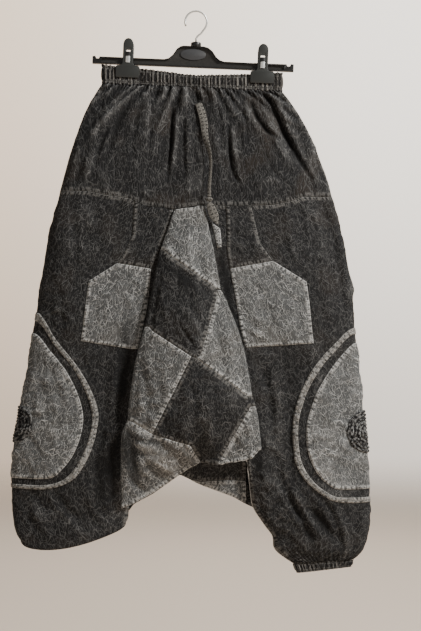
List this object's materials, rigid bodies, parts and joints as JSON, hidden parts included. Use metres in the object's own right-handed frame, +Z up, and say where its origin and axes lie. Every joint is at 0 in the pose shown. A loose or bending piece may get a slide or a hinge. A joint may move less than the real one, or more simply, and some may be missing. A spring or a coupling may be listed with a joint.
{
  "type": "harem trousers on a clip hanger",
  "caption": "Dark stonewashed cotton harem trousers with a low patchwork gusset, half-moon and spiral applique, gathered waist and cuffs and a drawstring, on a black plastic clip hanger.",
  "frame": {"origin": "inside of the top of the hook, where a rail or peg holds it", "axes": "+X to the right of a viewer facing the front, +Y to the back, +Z up"},
  "size_m": [0.6479, 0.093, 1.0124],
  "materials": {
    "dark_cotton": "crinkled stonewashed dark cotton, matt",
    "pale_cotton": "crinkled stonewashed grey cotton, matt",
    "tape": "stitched flat cotton tape, matt",
    "black_plastic": "moulded black plastic, satin",
    "grey_plastic": "dark grey moulded plastic",
    "clip_plastic": "dark grey-green moulded plastic, satin",
    "steel": "bright plated steel"
  },
  "bodies": {
    "root": {"clip_back_left": "clip_plastic", "clip_back_right": "clip_plastic", "clip_front_left": "clip_plastic", "clip_front_right": "clip_plastic", "clip_spring_left": "steel", "clip_spring_right": "steel", "cuff_left_back": "dark_cotton", "cuff_left_front": "dark_cotton", "cuff_right_back": "dark_cotton", "cuff_right_front": "dark_cotton", "gusset_back": "dark_cotton", "gusset_under": "dark_cotton", "gusset_under_patch": "pale_cotton", "hanger_badge": "grey_plastic", "hanger_bar": "black_plastic", "hook": "steel", "hook_boss": "black_plastic", "leg_back_left": "dark_cotton", "leg_back_right": "dark_cotton", "leg_front_left": "dark_cotton", "leg_front_right": "dark_cotton", "leg_lower_back_left": "dark_cotton", "leg_lower_back_right": "dark_cotton", "leg_lower_front_left": "dark_cotton", "leg_lower_front_right": "dark_cotton", "moon_band_left": "pale_cotton", "moon_band_right": "pale_cotton", "moon_field_left": "pale_cotton", "moon_field_right": "pale_cotton", "moon_spiral_left": "dark_cotton", "moon_spiral_right": "dark_cotton", "patch_bottom": "pale_cotton", "patch_corner": "pale_cotton", "patch_left": "pale_cotton", "patch_lower_dark": "dark_cotton", "patch_right": "pale_cotton", "patch_top": "pale_cotton", "patch_upper_dark": "dark_cotton", "pocket_lower_left": "pale_cotton", "pocket_lower_right": "pale_cotton", "pocket_tab": "pale_cotton", "pocket_upper_left": "dark_cotton", "pocket_upper_right": "dark_cotton", "tie": "tape", "tie_knot": "tape", "tie_tail": "tape", "waistband_back": "dark_cotton", "waistband_front": "dark_cotton", "yoke_back": "dark_cotton", "yoke_front": "dark_cotton"}
  },
  "joints": []
}
